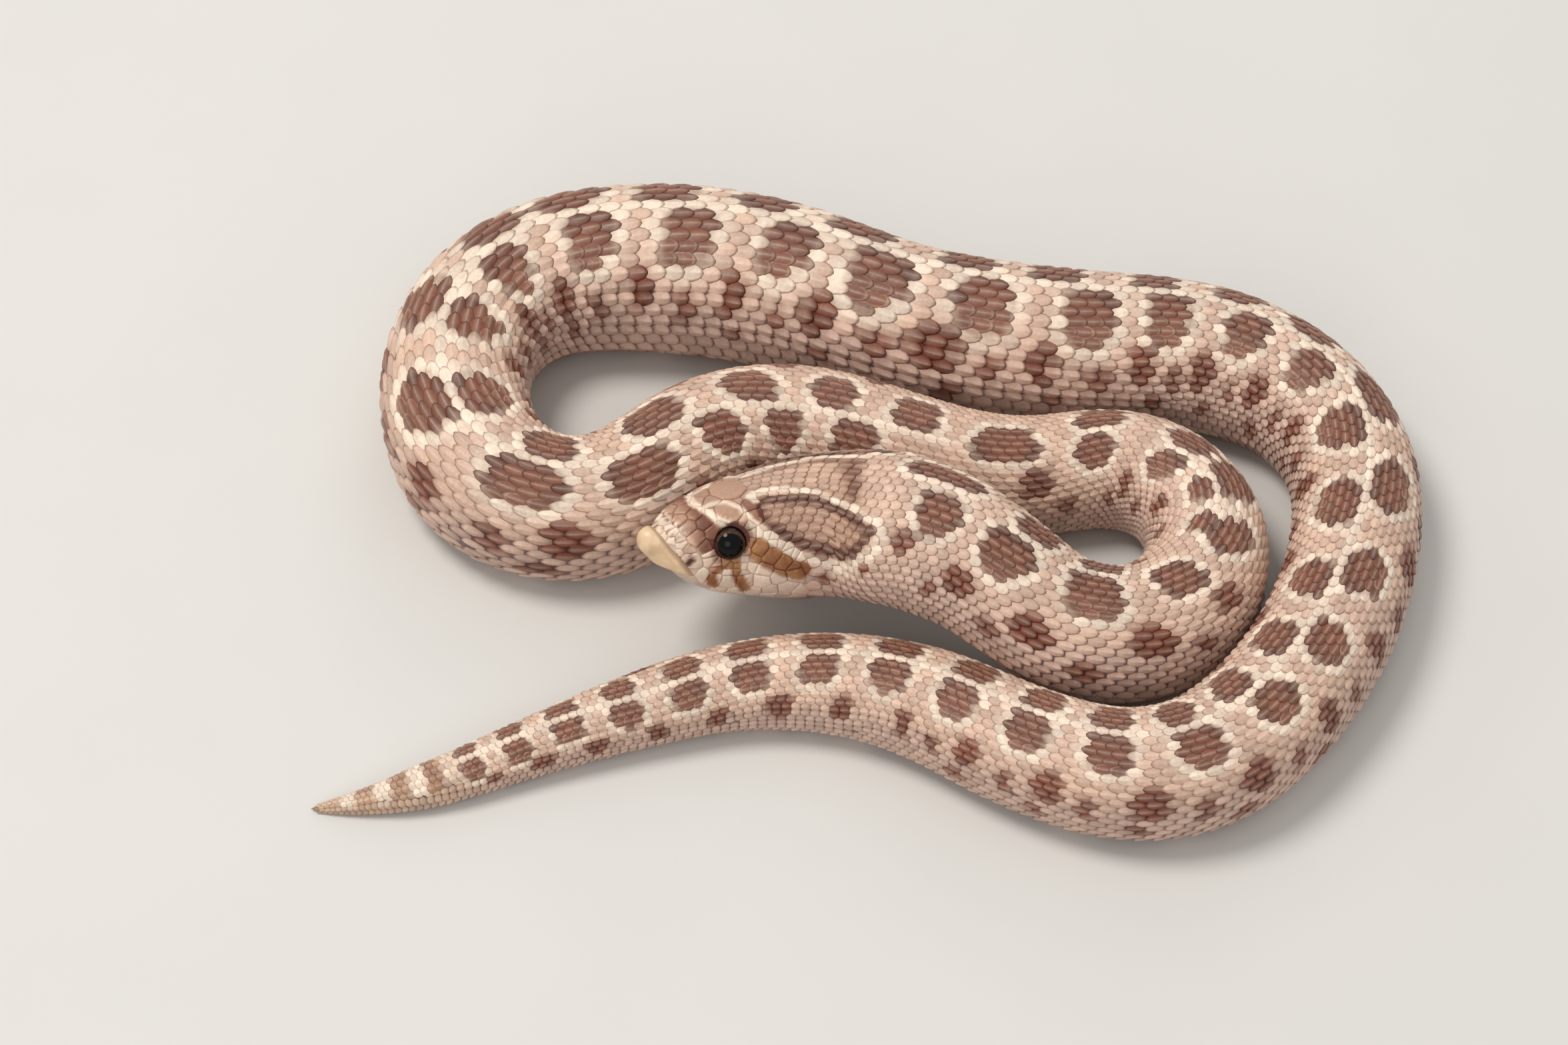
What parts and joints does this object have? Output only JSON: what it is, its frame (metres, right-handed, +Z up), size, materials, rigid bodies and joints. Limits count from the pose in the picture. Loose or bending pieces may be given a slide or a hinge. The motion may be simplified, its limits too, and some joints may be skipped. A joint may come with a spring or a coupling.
{
  "type": "coiled western hognose snake",
  "caption": "life-size still model of a hognose snake lying in a loose coil on its belly, its head raised over its own body and its mouth shut",
  "frame": {"origin": "the middle of the coil's outline, on the floor it lies on", "axes": "+Z up from the floor, +X along the coil's longest side away from the tail tip, +Y from the head's side of the coil to its back run"},
  "size_m": [0.1026, 0.0728, 0.0181],
  "materials": {
    "skin": "satin",
    "rostral": "satin",
    "eye": "gloss"
  },
  "bodies": {
    "root": {"head": "skin", "rostral_scale": "rostral", "lower_jaw": "skin", "eye_left": "eye", "eye_right": "eye", "neck": "skin", "trunk_1": "skin", "trunk_2": "skin", "trunk_3": "skin", "trunk_4": "skin", "trunk_5": "skin", "trunk_6": "skin", "trunk_7": "skin", "trunk_8": "skin", "trunk_9": "skin", "trunk_10": "skin", "trunk_11": "skin", "trunk_12": "skin", "trunk_13": "skin", "tail": "skin", "tail_tip": "skin"}
  },
  "joints": []
}
